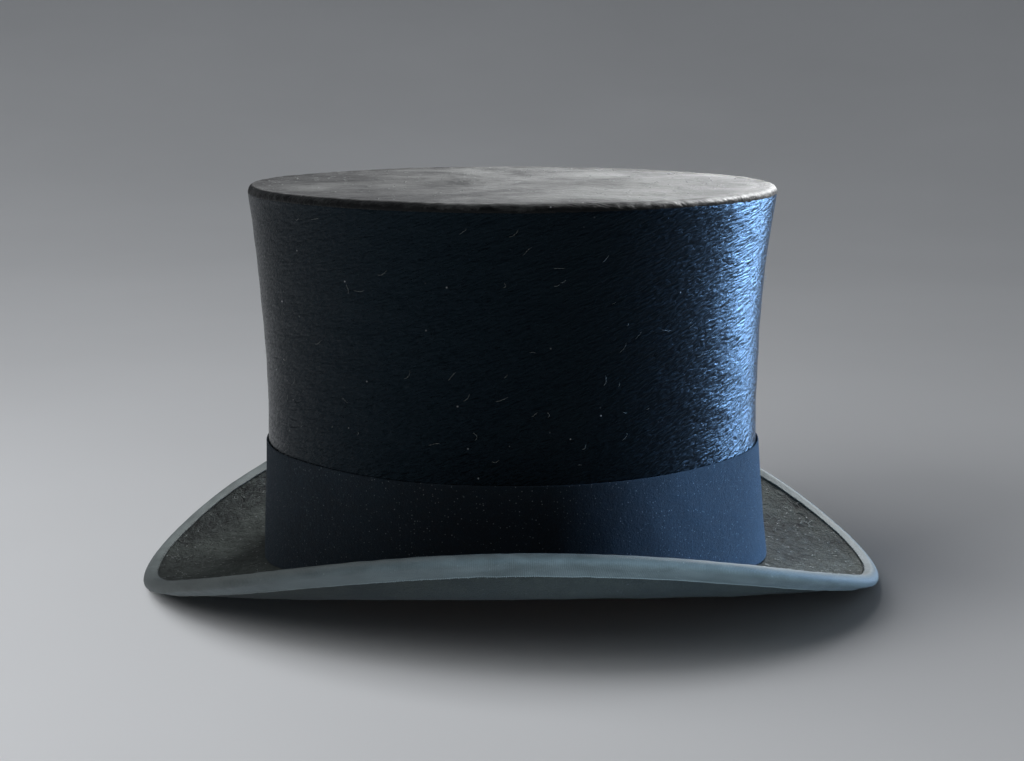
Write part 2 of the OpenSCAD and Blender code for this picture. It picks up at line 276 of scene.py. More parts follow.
def tubes(name, lines, radius, material, sides=6):
    """One piece of many short closed threads, each along one of the lines."""
    turn = np.arange(sides) * 2 * PI / sides
    verts, faces, lie = [], [], []
    for line in lines:
        line = np.asarray(line, float)
        count = len(line)
        along = directions(line)
        up = np.array([0, 0, 1.0]) if abs(along[count // 2, 2]) < 0.8 else np.array([1.0, 0, 0])
        side = np.cross(along, up)
        side /= np.linalg.norm(side, axis=1)[:, None]
        over = np.cross(side, along)
        ends = np.sin(np.linspace(0.12 * PI, 0.88 * PI, count)) ** 0.5
        ring = (line[:, None] + radius * ends[:, None, None] * (
            np.cos(turn)[None, :, None] * side[:, None] +
            np.sin(turn)[None, :, None] * over[:, None]))
        faces += grid_faces(count, sides, False, len(verts))
        verts += ring.reshape(-1, 3).tolist()
        lie += [[s, t * radius, 0] for s in distances(line) for t in turn]
    return make_object(name, verts, faces, lie, material)


# ---- Materials ----

WAVE_SCALE = 1 / 3.15  # a wave node's scale for about one band per metre


class Nodes:
    """Short calls for building one material's nodes."""

    def __init__(self, name):
        self.material = bpy.data.materials.new(name)
        self.material.use_nodes = True
        self.tree = self.material.node_tree
        self.shader = self.tree.nodes["Principled BSDF"]

    def feed(self, socket, value):
        """Gives a socket a number, a colour, a vector or another node's output."""
        if isinstance(value, bpy.types.NodeSocket):
            self.tree.links.new(value, socket)
        else:
            socket.default_value = (*value, 1) if socket.type == "RGBA" else value

    def new(self, kind, inputs, **settings):
        """A node with these settings. inputs holds a value for each named or numbered socket."""
        node = self.tree.nodes.new(kind)
        for key, value in settings.items():
            setattr(node, key, value)
        for key, value in inputs.items():
            self.feed(node.inputs[key], value)
        return node

    def set(self, **values):
        """Feeds the shader's sockets, with _ for a space in a socket's name."""
        for key, value in values.items():
            self.feed(self.shader.inputs[key.replace("_", " ")], value)

    def lie(self, scale=(1, 1, 1), attribute="lie", turn=(0, 0, 0)):
        """The cloth's own coordinates in metres, turned and scaled."""
        source = self.new("ShaderNodeAttribute", {}, attribute_name=attribute).outputs["Vector"]
        inputs = {"Vector": source, "Scale": scale, "Rotation": turn}
        return self.new("ShaderNodeMapping", inputs).outputs["Vector"]

    def place(self):
        """Coordinates of the hat itself, in metres."""
        return self.new("ShaderNodeTexCoord", {}).outputs["Object"]

    def noise(self, vector, scale, detail=3.0, rough=0.5, distortion=0.0):
        inputs = {"Vector": vector, "Scale": scale, "Detail": detail, "Roughness": rough,
                  "Distortion": distortion}
        return self.new("ShaderNodeTexNoise", inputs).outputs["Fac"]

    def cells(self, vector, scale, feature="F1"):
        inputs = {"Vector": vector, "Scale": scale}
        return self.new("ShaderNodeTexVoronoi", inputs, feature=feature)

    def wave(self, vector, scale, direction="X", distortion=0.0):
        inputs = {"Vector": vector, "Scale": scale, "Distortion": distortion}
        return self.new("ShaderNodeTexWave", inputs, bands_direction=direction).outputs["Fac"]

    def ramp(self, fac, stops):
        node = self.new("ShaderNodeValToRGB", {"Fac": fac})
        while len(node.color_ramp.elements) < len(stops):
            node.color_ramp.elements.new(0.5)
        for element, (position, colour) in zip(node.color_ramp.elements, stops):
            element.position = position
            element.color = (*colour, 1)
        return node.outputs["Color"]

    def span(self, fac, low, high, to_low=0.0, to_high=1.0):
        """fac from low to high, as a number from to_low to to_high."""
        inputs = {"Value": fac, "From Min": low, "From Max": high, "To Min": to_low,
                  "To Max": to_high}
        return self.new("ShaderNodeMapRange", inputs).outputs["Result"]

    def maths(self, operation, a, b):
        return self.new("ShaderNodeMath", {0: a, 1: b}, operation=operation).outputs["Value"]

    def times(self, a, b):
        return self.maths("MULTIPLY", a, b)

    def plus(self, a, b):
        return self.maths("ADD", a, b)

    def mix(self, fac, a, b):
        """The colour a, and b where fac is 1."""
        return self.new("ShaderNodeMix", {0: fac, 6: a, 7: b}, data_type="RGBA").outputs[2]

    def bump(self, height, distance, strength=1.0, normal=None):
        inputs = {"Height": height, "Distance": distance, "Strength": strength}
        if normal is not None:
            inputs["Normal"] = normal
        return self.new("ShaderNodeBump", inputs).outputs["Normal"]

    def specks(self, vector, scale, core, rim, strength, chosen):
        """Round specks of lint: one in each cell whose random number is over chosen."""
        cells = self.cells(vector, scale)
        return self.times(self.span(cells.outputs["Distance"], core, rim, strength, 0.0),
                          self.span(self.parts(cells.outputs["Color"])[0], chosen, 0.99))

    def parts(self, vector):
        return self.new("ShaderNodeSeparateXYZ", {"Vector": vector}).outputs

    def colour(self, socket):
        self.set(Base_Color=socket)

    def roughness(self, noise, low, high):
        """Roughness from low to high over the middle range of a noise."""
        self.set(Roughness=self.span(noise, 0.3, 0.7, low, high))

    def normal(self, *bump):
        self.set(Normal=self.bump(*bump))


def plush_material(name, nap_scale, dark, light, dust, strand, clump, depth, rough, glint,
                   sheen=0.0, dusty=(0.55, 0.8), faded=0.4, curl=0.3, tint=(0.45, 0.75, 1.0),
                   rim=False, lint_from=0.93):
    """Black brushed plush. nap_scale stretches the nap's own coordinates, so that its strands lie
    along the fibres. dust is the colour of nap faded by wear, which shows over the range dusty of a
    noise;
    on the top it is partly painted sheen. rim makes the nap lighter toward the front as painted
    light from the top's lamps, and darkens it below the top's edge, where the top's dust and
    painted sheen end."""
    m = Nodes(name)
    m.set(Specular_IOR_Level=glint, Sheen_Weight=sheen, Sheen_Roughness=0.5, Anisotropic=0.3,
          Sheen_Tint=tint, Specular_Tint=tint)
    nap = m.lie(nap_scale, "nap")
    strands = m.noise(nap, strand, 2.5, 0.6, curl)
    clumps = m.noise(nap, clump, 3, 0.55, 2 * curl)
    patches = m.noise(m.place(), 20, 5, 0.62, 0.4)
    if rim:
        # Painted light: the top's nap is made lighter toward the hat's front, the side that its
        # lamps light.
        patches = m.plus(patches, m.parts(m.place())[0])
    tone = m.plus(m.times(clumps, 0.45), m.times(strands, 0.55))
    body = m.ramp(tone, [(0.4, dark), (0.64, light)])
    wear_and_painted_light = m.mix(m.span(patches, *dusty, 0.0, faded), body, dust)
    lint = m.specks(m.place(), 260, 0.04, 0.11, 1.0, lint_from)
    if rim:
        # Below the top's edge the nap is kept near black, without the top's dust and painted sheen.
        ragged = m.noise(m.place(), 150, 4, 0.65, 0.3)
        height = m.plus(m.parts(m.place())[2], m.times(ragged, 0.006))
        low = m.span(height, (EDGE_Z + 3.6) * MM, (EDGE_Z + 4.6) * MM, 1.0, 0.0)
        wear_and_painted_light = m.mix(low, wear_and_painted_light, (0.005, 0.0065, 0.0075))
    m.colour(m.mix(lint, wear_and_painted_light, (0.6, 0.62, 0.63)))
    m.roughness(strands, rough - 0.08, rough + 0.12)
    wide = m.bump(clumps, depth * 1.4, 0.8)
    m.normal(strands, depth, 1.0, wide)
    return m.material


def cloth_material(name, dark, light, pitch, sheen, specular=0.25, lint_scale=520,
                   lint_from=0.955, lint_colour=(0.2, 0.22, 0.23)):
    """Fulled woollen cloth: a fuzzy surface with a trace of its twill, about three lines to each
    pitch."""
    m = Nodes(name)
    m.set(Specular_IOR_Level=specular, Sheen_Weight=sheen, Sheen_Roughness=0.6,
          Sheen_Tint=(0.7, 0.85, 1.0))
    lie = m.lie()
    fuzz = m.noise(lie, 1100, 4, 0.7)
    felt = m.noise(lie, 330, 4, 0.65, 0.5)
    cloud = m.noise(m.place(), 26, 4, 0.6)
    twill = m.wave(m.lie(turn=(0, 0, math.radians(42))), 1 / pitch, "X", 1.5)
    tone = m.plus(m.times(m.plus(felt, fuzz), 0.32), m.times(cloud, 0.36))
    body = m.ramp(tone, [(0.4, dark), (0.62, light)])
    lint = m.specks(lie, lint_scale, 0.06, 0.22, 0.6, lint_from)
    m.colour(m.mix(lint, body, lint_colour))
    m.roughness(felt, 0.77, 0.93)
    height = m.plus(m.times(fuzz, 0.7), m.times(twill, 0.15))
    m.normal(height, 0.0006, 1.0, m.bump(felt, 0.0009, 0.6))
    return m.material


def ribbon_material(name, dark, light, rib, edge, width, rough=0.55):
    """Ribbed ribbon. Ribs cross it every rib metres, and its woven edge on one side has its own
    colour.
    """
    m = Nodes(name)
    m.set(Specular_IOR_Level=0.4, Sheen_Weight=0.1, Sheen_Roughness=0.5, Sheen_Tint=(0.8, 0.9, 1.0))
    lie = m.lie()
    ribs = m.wave(lie, WAVE_SCALE / rib, "X", 0.25)
    wear = m.noise(m.lie((1, 3, 1)), 60, 4, 0.6, 0.4)
    grain = m.noise(lie, 1800, 3, 0.6)
    body = m.ramp(m.plus(m.times(wear, 0.75), m.times(grain, 0.25)), [(0.35, dark), (0.68, light)])
    ribbed = m.mix(m.span(ribs, 0.0, 0.5, 0.22, 0.0), body, dark)
    across = m.parts(m.lie())[1]
    from_edge = m.maths("SUBTRACT", width / 2, across)
    rim = m.times(m.span(from_edge, 0.0005, 0.0009, 0.8, 0.0), m.span(ribs, 0.1, 0.7))
    dust = m.specks(lie, 600, 0.05, 0.2, 0.7, 0.8)
    m.colour(m.mix(dust, m.mix(rim, ribbed, edge), edge))
    m.roughness(wear, rough - 0.06, rough + 0.12)
    m.normal(grain, 0.0003, 0.6, m.bump(ribs, 0.0001, 0.6))
    return m.material


def satin_material(name, dark, light):
    """Satin: a smooth cloth with long floats that give a soft directional gloss."""
    m = Nodes(name)
    m.set(Specular_IOR_Level=0.5, Sheen_Weight=0.25, Sheen_Roughness=0.3, Anisotropic=0.5)
    lie = m.lie((1, 12, 1))
    floats = m.noise(lie, 320, 3, 0.6)
    stain = m.noise(m.place(), 14, 4, 0.6, 0.3)
    body = m.ramp(stain, [(0.32, dark), (0.66, light)])
    m.colour(m.mix(m.span(floats, 0.35, 0.65, 0.16, 0.0), body, dark))
    m.roughness(floats, 0.26, 0.42)
    m.normal(floats, 0.0001, 0.5)
    return m.material


def leather_material(name):
    """Tan sweatband leather with fine grain, a darker handled edge and an embossed line."""
    m = Nodes(name)
    m.set(Specular_IOR_Level=0.45)
    lie = m.lie()
    pores = m.cells(lie, 1100, "DISTANCE_TO_EDGE").outputs["Distance"]
    cloud = m.noise(m.place(), 18, 5, 0.62, 0.3)
    fine = m.noise(lie, 700, 4, 0.6)
    body = m.ramp(cloud, [(0.3, (0.13, 0.052, 0.018)), (0.5, (0.27, 0.13, 0.052)),
                          (0.72, (0.37, 0.2, 0.095))])
    height = m.parts(m.lie())[1]
    low = m.span(height, 0.004, 0.022, 0.7, 0.0)
    m.colour(m.mix(m.times(low, m.span(fine, 0.3, 0.7, 0.6, 1.0)), body, (0.085, 0.034, 0.014)))
    m.roughness(cloud, 0.36, 0.6)
    line = m.maths("ABSOLUTE", m.maths("SUBTRACT", height, (SWEAT_W - 5) * MM), 0)
    groove = m.span(line, 0.0002, 0.0008)
    m.normal(groove, 0.0003, 0.8, m.bump(m.span(pores, 0.0, 0.12), 0.00012, 0.5))
    return m.material


def linen_material(name):
    """Linen stiffened with shellac: an open plain weave under brown glossy gum."""
    m = Nodes(name)
    m.set(Specular_IOR_Level=0.5, Coat_Weight=0.25, Coat_Roughness=0.3)
    place = m.place()
    warp = m.wave(place, 420, "X", 0.6)
    weft = m.wave(place, 420, "Y", 0.6)
    rise = m.wave(place, 420, "Z", 0.6)
    weave = m.times(m.plus(warp, weft), rise)
    gum = m.noise(place, 40, 5, 0.65, 0.5)
    body = m.ramp(gum, [(0.3, (0.055, 0.024, 0.009)), (0.7, (0.23, 0.125, 0.052))])
    m.colour(m.mix(m.span(weave, 0.2, 1.2, 0.5, 0.0), body, (0.05, 0.022, 0.009)))
    m.roughness(gum, 0.32, 0.6)
    m.normal(weave, 0.0003, 0.6)
    return m.material


def thread_material(name, dark, light):
    """Twisted sewing thread."""
    twist = 0.0011
    m = Nodes(name)
    m.set(Specular_IOR_Level=0.4, Sheen_Weight=0.1)
    ply = m.wave(m.lie(turn=(0, 0, math.radians(35))), WAVE_SCALE / twist, "X", 0.2)
    m.colour(m.ramp(ply, [(0.2, dark), (0.8, light)]))
    m.set(Roughness=m.span(ply, 0.0, 1.0, 0.7, 0.5))
    m.normal(ply, 0.00012, 0.8)
    return m.material


def cane_material(name):
    """Split cane with fibres along it."""
    m = Nodes(name)
    m.set(Specular_IOR_Level=0.45)
    fibre = m.noise(m.lie((1, 30, 30)), 120, 4, 0.6)
    m.colour(m.ramp(fibre, [(0.35, (0.3, 0.19, 0.08)), (0.65, (0.6, 0.44, 0.23))]))
    m.roughness(fibre, 0.45, 0.65)
    m.normal(fibre, 0.00015, 0.6)
    return m.material


def oilcloth_material(name):
    """Dark glazed oilcloth, crazed where it is folded."""
    m = Nodes(name)
    m.set(Specular_IOR_Level=0.5)
    cracks = m.cells(m.lie(), 700, "DISTANCE_TO_EDGE").outputs["Distance"]
    cloud = m.noise(m.place(), 60, 4, 0.6)
    m.colour(m.mix(m.span(cracks, 0.0, 0.06, 0.5, 0.0),
                   m.ramp(cloud, [(0.3, (0.02, 0.019, 0.017)), (0.7, (0.06, 0.054, 0.045))]),
                   (0.1, 0.085, 0.06)))
    m.roughness(cloud, 0.32, 0.55)
    m.normal(m.span(cracks, 0.0, 0.1), 0.0001, 0.5)
    return m.material


crown_plush = plush_material(
    "crown_plush", (1, 4.2, 1), (0.0002, 0.0008, 0.0018), (0.0016, 0.0032, 0.0046),
    (0.008, 0.0105, 0.0105), strand=290, clump=105, depth=0.00042, rough=0.24, glint=0.2)
# The top's light and dust greys are partly real dust and partly painted sheen, the grey that its
# nap shows when seen nearly edge-on.
tip_plush_dust_and_sheen = plush_material(
    "tip_plush_dust_and_sheen", (0.3, 1.5, 1), (0.001, 0.0015, 0.002), (0.062, 0.064, 0.064),
    (0.17, 0.174, 0.168), strand=700, clump=55, depth=0.0005, rough=0.5, glint=0.15, sheen=0.09,
    dusty=(0.43, 0.64), faded=0.75, curl=0.6, tint=(1.0, 0.99, 0.98), rim=True, lint_from=0.3)
brim_plush = plush_material(
    "brim_plush", (1, 1, 1.6), (0.001, 0.0014, 0.0015), (0.044, 0.052, 0.049),
    (0.07, 0.082, 0.074), strand=420, clump=75, depth=0.0012, rough=0.6, glint=0.1, sheen=0.03,
    dusty=(0.42, 0.68), faded=0.7, curl=1.8, tint=(1.0, 1.0, 1.0), lint_from=0.4)
band_cloth = cloth_material(
    "band_wool", (0.0003, 0.003, 0.0068), (0.0045, 0.014, 0.0235), pitch=0.0009, sheen=0.12,
    specular=0.18, lint_scale=800, lint_from=0.35, lint_colour=(0.42, 0.46, 0.48))
under_cloth = cloth_material(
    "under_wool", (0.011, 0.0125, 0.009), (0.038, 0.04, 0.028), pitch=0.0011, sheen=0.05)
binding_ribbon = ribbon_material("binding_ribbon", (0.062, 0.075, 0.071), (0.125, 0.144, 0.139),
                                 0.0007, (0.27, 0.3, 0.29), RIBBON_W * MM)
bow_ribbon = ribbon_material("bow_ribbon", (0.006, 0.007, 0.009), (0.018, 0.019, 0.022),
                             0.0005, (0.02, 0.021, 0.024), BOW_W * MM, 0.35)
satin = satin_material("ivory_satin", (0.42, 0.34, 0.22), (0.7, 0.64, 0.5))
leather = leather_material("tan_leather")
linen = linen_material("shellac_linen")
linen_thread = thread_material("linen_thread", (0.25, 0.18, 0.1), (0.55, 0.44, 0.29))
black_thread = thread_material("black_thread", (0.004, 0.006, 0.008), (0.016, 0.02, 0.024))
grey_thread = thread_material("grey_thread", (0.03, 0.036, 0.036), (0.09, 0.1, 0.098))
ivory_thread = thread_material("ivory_thread", (0.45, 0.38, 0.26), (0.72, 0.66, 0.52))
lint_fibre = thread_material("lint_fibre", (0.22, 0.24, 0.23), (0.42, 0.44, 0.42))
cane = cane_material("split_cane")
oilcloth = oilcloth_material("oilcloth")


def add_nap(piece, nap):
    """Stores the nap's own coordinates: fibres lie where they change least."""
    add_vectors(piece.data, "nap", nap)


def finish_piece(piece, *nodes):
    """Fixes a piece to the hat, in the place of these CAD nodes."""
    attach(piece, "root")
    if nodes:
        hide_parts(*nodes)


def stretch_oval(out, area=None):
    """Works out the size and the area of a sheet stretched over the oval that lies out mm outside
    the head oval, and does nothing with them. area is in square mm."""
    size_x, size_y = HEAD_LEN + 2 * out, HEAD_WID + 2 * out
    area = area or 0.25 * PI * size_x * size_y * 1.02


# ---- Layers of the crown's wall ----

def wall_layer(angles, section, low, high):
    """Heights and offsets of a wall layer: section is [mm up from its foot, mm outside]."""
    share = section[:, 0] / section[:, 0].max()
    low = np.asarray(low)[:, None]
    high = np.broadcast_to(np.asarray(high, float), angles.shape)[:, None]
    return low + share[None, :] * (high - low), section[None, :, 1]


def wall_points(angles, z, out):
    return join(*oval(angles[:, None], out), z)


def wall_point(a, z, n):
    """A point n mm outside the crown's plush."""
    x, y = oval(a, float(wall_out(z)) + n)
    return float(x) + float(lean(x, z)), float(y), z


def run_along(angles, girth):
    """How far round the girth each station of a closed ring lies."""
    return np.linspace(0, girth, len(angles), endpoint=False)[:, None]


def build_side_plush():
    """The wall's plush. Its stations slant with its butted seam, which starts and ends them."""
    angles, girth = spread_angles(576, TOP_OUT, SEAM_ANGLE)
    section = slab(0.0, EDGE_Z - FOOT_SIDE_Z, -PLUSH_T, 0.0, 150)
    z, n = wall_layer(angles, section, foot_z(angles), EDGE_Z)
    a = angles[:, None] - (z - (FOOT_SIDE_Z + TOP_Z) / 2) * math.tan(SEAM_SLANT) / SIDE_R
    z, n = wall_layer(angles, section, foot_z(a[:, 0]), EDGE_Z)
    base = join(*oval(a, wall_out(z) + n), z)
    soft = 0.22 * ripples(base, 38, 11, (1.6, 1.6, 1)) + 0.08 * ripples(base, 7, 12, (3, 3, 1))
    fade = np.clip((z - FOOT_SIDE_Z - BAND_H + 6) / 6, 0, 1) * np.clip((EDGE_Z - z) / 3, 0, 1)
    run = run_along(angles, girth)
    groove = -0.5 * np.exp(-(np.minimum(run, girth - run) / 0.7) ** 2)
    rise = np.where(n > -PLUSH_T / 2, soft * fade + groove, 0)
    points = join(*oval(a, wall_out(z) + n + rise), z)
    points[..., 0] += lean(points[..., 0], z)
    piece = ring_object("crown_plush_cover", points, join(run, z, n), crown_plush)
    add_nap(piece, join(run, z - NAP_SLOPE * run, n))
    finish_piece(piece, "side_plush")


def build_band():
    """Cloth band: a strip once round the foot of the crown, its far end lapped over its start.
    Gives the angle where it ends."""
    steps = 560
    turns = 1 + BAND_LAP / (2 * PI)
    angles, girth = spread_angles(steps, FOOT_OUT, LAP_START, turns)
    section = slab(0.0, BAND_H, 0.0, BAND_T, 40, 5)
    z, n = wall_layer(angles, section, foot_z(angles) + 0.05, FOOT_SIDE_Z + BAND_H)
    past = np.clip((angles - angles[-1] + 2 * BAND_LAP) / BAND_LAP, 0, 1)[:, None]
    over = BAND_T * 0.92 * past ** 2 * (3 - 2 * past)
    base = wall_points(angles, z, wall_out(z) + n)
    up = (z - foot_z(angles)[:, None]) / BAND_H
    soft = 0.18 * ripples(base, 30, 21, (1.5, 1.5, 1)) + 0.06 * ripples(base, 9, 22)
    pressed = 0.25 * np.sin(PI * np.clip(up, 0, 1)) - 0.15
    rise = np.where(n > BAND_T / 2, (soft + pressed) * (1 - past), 0)
    z = z + 0.25 * ripples(base * (1, 1, 0), 40, 23) * np.clip(up, 0, 1)
    points = wall_points(angles, z, wall_out(z) + n + rise + over + 0.1)
    points[..., 0] += lean(points[..., 0], z)
    run = np.linspace(0, girth, steps)[:, None]
    piece = ring_object("crown_band", points, join(run, z, n), band_cloth, False)
    finish_piece(piece, "cloth_band")
    return angles[-1]


def build_band_stitches(end_angle):
    """Stitches down the band's lapped end."""
    lines = []
    rng = random.Random(31)
    count = 13
    t = np.linspace(0, 1, 6)
    for i in range(count):
        z = FOOT_SIDE_Z + BAND_H * (i + 0.5) / count
        out = wall_out(z) + 1.92 * BAND_T + 0.28
        x, y = oval(end_angle - 0.013 + 0.016 * t, out - 1.8 * np.maximum(t - 0.55, 0))
        uneven = np.array([rng.uniform(-0.05, 0.05) for _ in t])
        lines.append(join(x + lean(x, z), y, z + 0.5 * t + uneven))
    finish_piece(tubes("crown_band_stitches", lines, 0.19, black_thread),
                 "band_stitches")


# ---- Tip ----

def build_tip_plush():
    """The top's plush: a flat oval turned over the rounded edge down to the wall's plush."""
    rings, rim_rows = 70, 12
    angles, _ = spread_angles(576, TOP_OUT)
    centre_out = TOP_OUT - TOP_EDGE_R
    turn = np.linspace(math.radians(-14), PI / 2, rim_rows)[:, None]
    rim = join(*oval(angles, centre_out + TOP_EDGE_R * np.cos(turn)),
                 EDGE_Z + TOP_EDGE_R * np.sin(turn))
    x, y = oval(angles, centre_out)
    share = 1 - np.arange(1, rings)[:, None] / rings
    top = np.concatenate([rim, join(x * share, y * share, TOP_Z)])
    row = np.arange(len(top))[:, None]
    inside = np.clip((row - 4) / 14, 0, 1)
    wide = 0.3 * ripples(top, 46, 41) + 0.14 * ripples(top, 11, 42, (2.2, 1, 1)) - 0.3
    fuzz = 0.08 * ripples(top, 3.2, 43)
    top[..., 2] += inside * np.clip(wide, -0.6, 0.1) + fuzz * np.clip(inside * 3, 0, 1)
    top[..., 2] -= 0.28 * np.exp(-((row - 14) / 1.6) ** 2)
    tufts = 0.16 * ripples(top, 2.6, 44) + 0.12 * ripples(top, 14, 45)
    push = np.where(row < rim_rows, tufts, 0) * np.clip(row / 3, 0, 1)
    top[..., 0] += push * np.cos(angles)
    top[..., 1] += push * np.sin(angles)
    under = top.copy()
    under[..., 2] -= PLUSH_T
    ix, iy = oval(angles, TOP_OUT - PLUSH_T)
    hem = 0.68
    share = np.linspace(0, 1, rim_rows)[:, None]
    under[:rim_rows] = join(ix - (ix - x) * share ** 2, iy - (iy - y) * share ** 2, EDGE_Z - hem
                              + (TOP_EDGE_R - PLUSH_T + hem) * np.sin(share * PI / 2))
    middle = float(top[-3, :, 2].mean())
    top[-2:, :, 2] = middle
    under[-2:, :, 2] = middle - PLUSH_T
    middles = [[0, 0, middle - PLUSH_T], [0, 0, middle]]
    piece, verts = disc_object("crown_tip_cover", under, top, middles, tip_plush_dust_and_sheen)
    add_nap(piece, verts)
    finish_piece(piece, "tip_plush")
    stretch_oval(TOP_OUT)


# ---- Layers of the brim ----

def brim_points(angles, l, n):
    return brim(angles[:, None], l, n)


def brim_sheet(name, angles, girth, section, rise, material, node):
    """A ring of cloth stretched on the brim's plate. rise is how far its points stand out."""
    l, n = section.T
    lie = join(run_along(angles, girth), l, n)
    piece = ring_object(name, brim_points(angles, l, n + rise), lie, material)
    finish_piece(piece, node)
    stretch_oval(FOOT_OUT + BRIM_W, area=girth * np.ptp(l))
    return piece


def build_brim_plush():
    """The brim's upper plush, tufted where the ribbon leaves it in view."""
    angles, girth = spread_angles(640, FOOT_OUT + 30, PI / 2)
    section = slab(PLATE_EDGE_OUT - FOOT_OUT, BRIM_W - 0.3, -PLUSH_T, 0.0, 62)
    l, n = section.T
    base = brim_points(angles, l, n)
    tuft = 0.33 * ripples(base, 10, 51) + 0.26 * ripples(base, 3.2, 52)
    shown = np.clip((BRIM_W - BINDING_TOP_W - 0.5 - l) / 3, 0, 1) * np.clip((l + 2) / 3, 0, 1)
    rise = np.where(n > -PLUSH_T / 2, (0.1 + tuft) * shown, 0)
    piece = brim_sheet("brim_plush_cover", angles, girth, section, rise, brim_plush,
                       "brim_top_plush")
    a = angles[:, None]
    add_nap(piece, join(150 * np.cos(a), 125 * np.sin(a), l))


def build_under_cloth():
    """The cloth under the brim, a little uneven where the ribbon leaves it in view."""
    angles, girth = spread_angles(480, FOOT_OUT + 30, PI / 2)
    section = slab(PLATE_EDGE_OUT - FOOT_OUT, BRIM_W - 0.3, CLOTH_LOW, SHELL_LOW, 40)
    l, n = section.T
    base = brim_points(angles, l, n)
    soft = 0.16 * ripples(base, 16, 61) + 0.06 * ripples(base, 5, 62)
    shown = np.clip((BRIM_W - BINDING_UNDER_W - 0.5 - l) / 3, 0, 1)
    rise = np.where(n < (CLOTH_LOW + SHELL_LOW) / 2, soft * shown, 0)
    brim_sheet("brim_under_cover", angles, girth, section, rise, under_cloth,
               "brim_under_cloth")


def build_binding():
    """Ribbon folded over the brim's edge, with a bead along its lower woven edge."""
    angles, girth = spread_angles(1200, FOOT_OUT + BRIM_W, PI / 2)
    mid = CLOTH_LOW / 2
    half = mid - (CLOTH_LOW - BINDING_T)
    turn_l = BRIM_W - half + BINDING_T
    top_l, low_l = BRIM_W - BINDING_TOP_W, BRIM_W - BINDING_UNDER_W
    line = [(l, BINDING_T) for l in np.linspace(top_l, turn_l, 9)[:-1]]
    line += [(turn_l + half * math.cos(t), mid + half * math.sin(t))
             for t in np.linspace(PI / 2, -PI / 2, 17)]
    line += [(l, CLOTH_LOW - BINDING_T) for l in np.linspace(turn_l, low_l, 11)[1:]]
    outer = np.array(line)
    run = distances(outer)
    width = run[-1]
    hem = 1.4
    fine = np.concatenate([np.linspace(0, hem, 9)[:-1], np.linspace(hem, width - hem, 34),
                           np.linspace(width - hem, width, 9)[1:]])
    outer = join(np.interp(fine, run, outer[:, 0]), np.interp(fine, run, outer[:, 1]))
    away = sideways(outer)
    from_edge = np.minimum(fine, width - fine)
    bead = 0.2 * np.exp(-((width - fine - 0.5) / 0.3) ** 2)
    thin = 0.5 * np.clip(1 - from_edge / 0.35, 0, 1) ** 2
    skin = outer + away * (bead - thin * BINDING_T)[:, None]
    inner = outer - away * (BINDING_T * 0.98)
    section = np.concatenate([skin, inner[::-1]])
    across = np.concatenate([fine, fine[::-1]]) - width / 2
    l, n = section.T
    base = brim_points(angles, l, n)
    wobble = 0.22 * ripples(base, 26, 71) + 0.1 * ripples(base, 6, 72)
    pucker = 0.09 * ripples(base, 4.2, 73)
    near_edge = np.exp(-(np.concatenate([from_edge, from_edge[::-1]]) / 1.8) ** 2)
    on_skin = np.arange(len(section)) < len(fine)
    rise = np.where(on_skin, np.where(n > mid, 1.0, -1.0) * (pucker + 0.05), 0)
    points = brim_points(angles, l + wobble * near_edge, n + rise)
    piece = ring_object("brim_edge_ribbon", points, join(run_along(angles, girth), across, 0),
                        binding_ribbon)
    finish_piece(piece, "brim_binding")


def build_binding_stitches():
    """Small slanting fell stitches along the ribbon's upper edge and its lower edge."""
    lines = []
    rng = random.Random(81)
    t = np.linspace(0, 1, 5)
    for upper, count in ((True, 300), (False, 260)):
        angles, _ = spread_angles(count, FOOT_OUT + BRIM_W - 6)
        edge = BRIM_W - (BINDING_TOP_W if upper else BINDING_UNDER_W)
        ribbon_n = BINDING_T + 0.12 if upper else CLOTH_LOW - BINDING_T - 0.12
        skin_n = 0.1 if upper else CLOTH_LOW - 0.1
        for a in angles:
            l = edge + 0.75 - 1.5 * t + rng.uniform(-0.1, 0.1)
            n = ribbon_n + (skin_n - ribbon_n) * t ** 2
            lines.append(brim(a + 0.0035 * t, l, n))
    finish_piece(tubes("brim_edge_stitches", lines, 0.14, grey_thread, 5),
                 "binding_stitches")


# ---- Sweatband and what holds it ----

def sweat_low(angles):
    """Height of the sweatband's lower edge."""
    return FOOT_SIDE_Z + foot_drop(oval(angles, 0)[0]) + CLOTH_LOW


def build_sweatband():
    """Leather strip once round the head opening, butted at the back and loose at its top."""
    half_gap = 0.2 / (HEAD_LEN / 2)
    fine = np.linspace(-PI + half_gap, PI - half_gap, 4001)
    run = distances(join(*oval(fine, 0.0)))
    girth = run[-1]
    along = np.linspace(0, girth, 480)
    angles = np.interp(along, run, fine)
    section = slab(0.0, SWEAT_W, 0.0, LEATHER_T, 44, 5)
    low = sweat_low(angles) + 0.05
    z, n = wall_layer(angles, section, low, low + SWEAT_W - 0.05)
    up = (z - low[:, None]) / SWEAT_W
    base = wall_points(angles, z, n)
    wave = (0.7 * ripples(base * (1, 1, 0.3), 60, 91) - 0.5) * np.clip(up, 0, 1) ** 2
    soft = 0.08 * ripples(base, 12, 92) * np.clip(up * 6, 0, 1)
    points = wall_points(angles, z, n + wave + soft)
    lie = join(along[:, None], up * SWEAT_W, n)
    piece = ring_object("sweatband_leather", points, lie, leather, False)
    finish_piece(piece, "sweatband")


